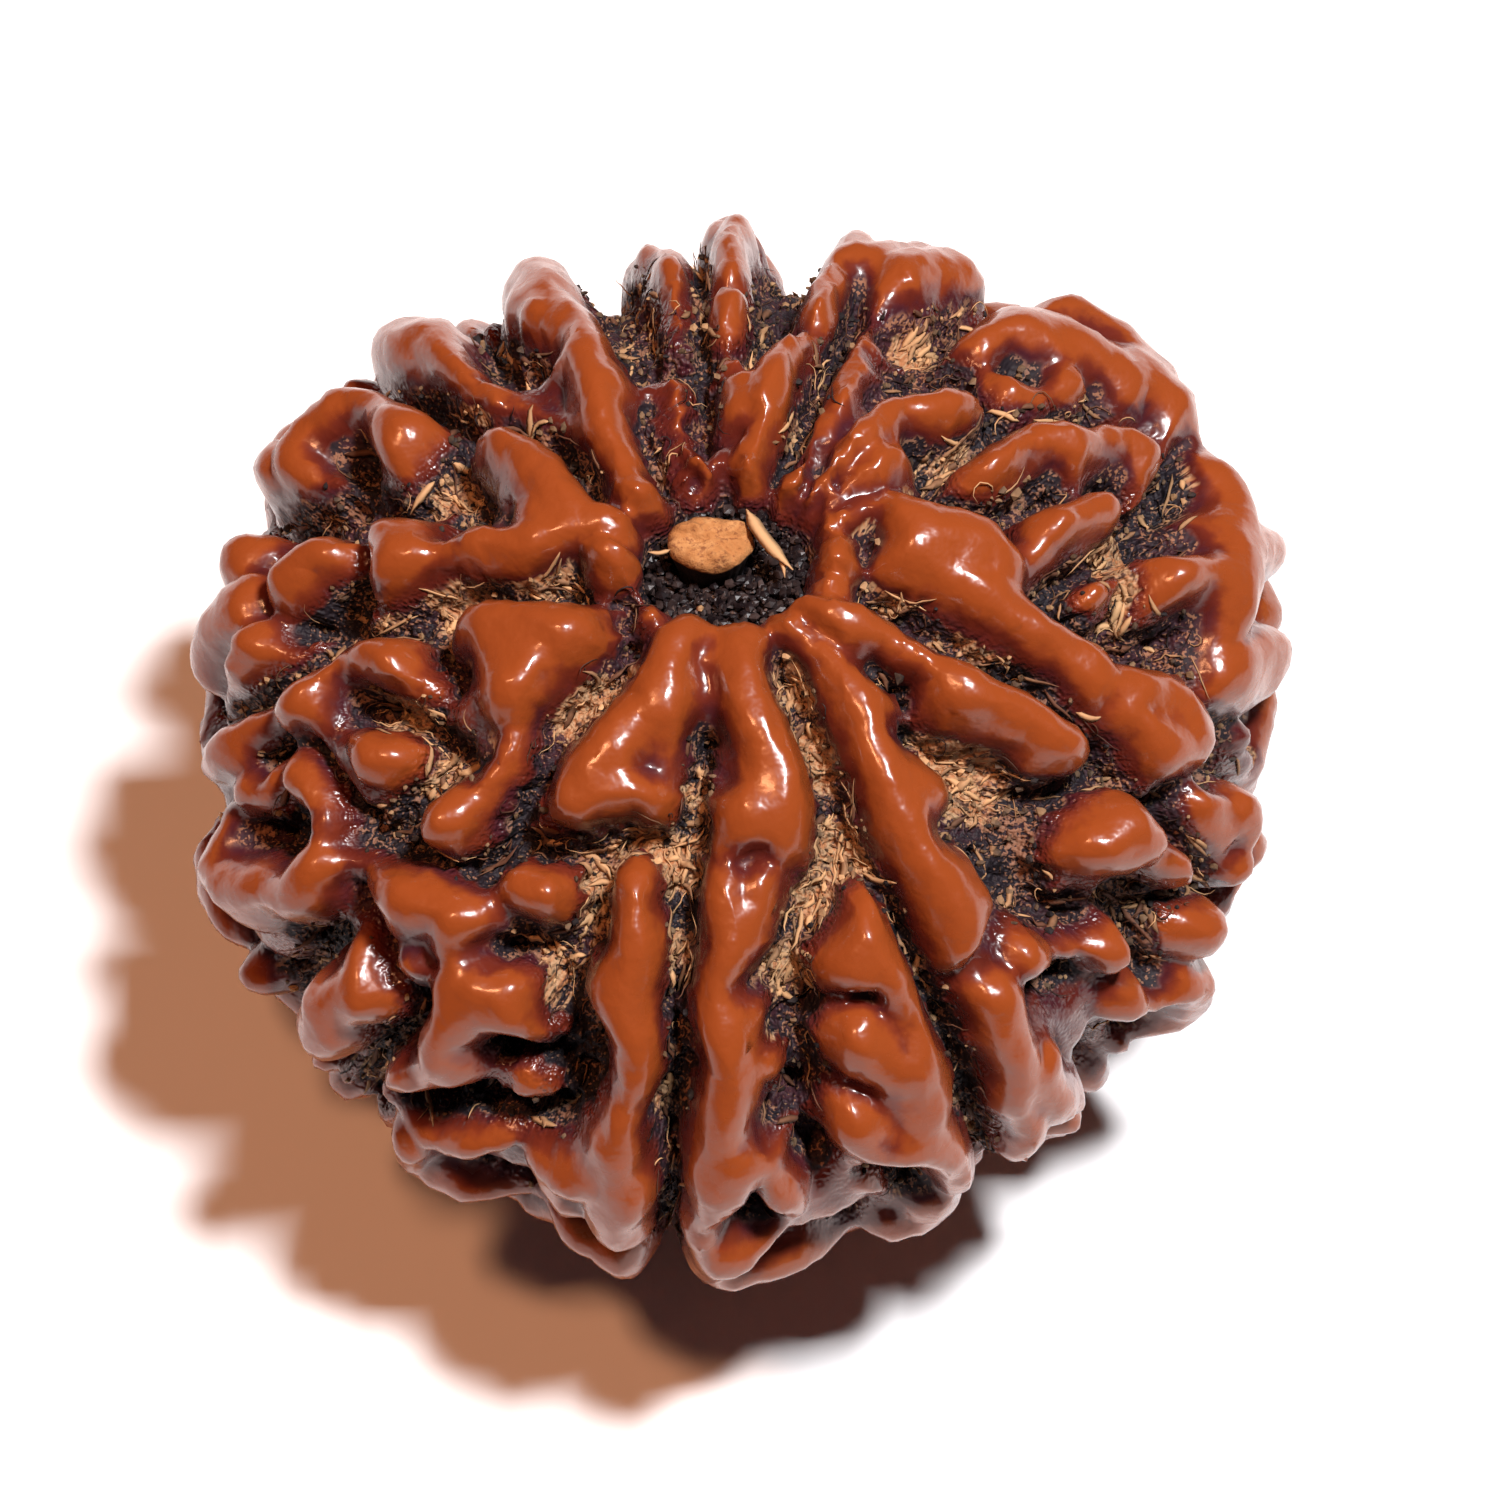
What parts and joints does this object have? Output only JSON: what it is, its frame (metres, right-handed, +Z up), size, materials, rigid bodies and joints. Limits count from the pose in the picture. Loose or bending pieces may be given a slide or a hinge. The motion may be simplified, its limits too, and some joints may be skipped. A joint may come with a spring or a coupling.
{
  "type": "rudraksha bead",
  "caption": "Dried rudraksha seed stone used as a bead: a squat ball of swollen faces between pole-to-pole sutures, ridged and pitted, its top hole plugged with pith.",
  "frame": {"origin": "centre of the bead's bounding box, on the surface that it rests on", "axes": "+Z up, from the lower pole to the upper pole with the plugged hole; -Y towards the viewer of the picture; +X to the picture's right"},
  "size_m": [0.0256, 0.0266, 0.0179],
  "materials": {
    "stone": "oiled, glossy orange-brown crests over dark fibrous furrows",
    "pith": "dry matt tan fibre"
  },
  "bodies": {
    "root": {"stone": "stone", "pith": "pith"}
  },
  "joints": []
}
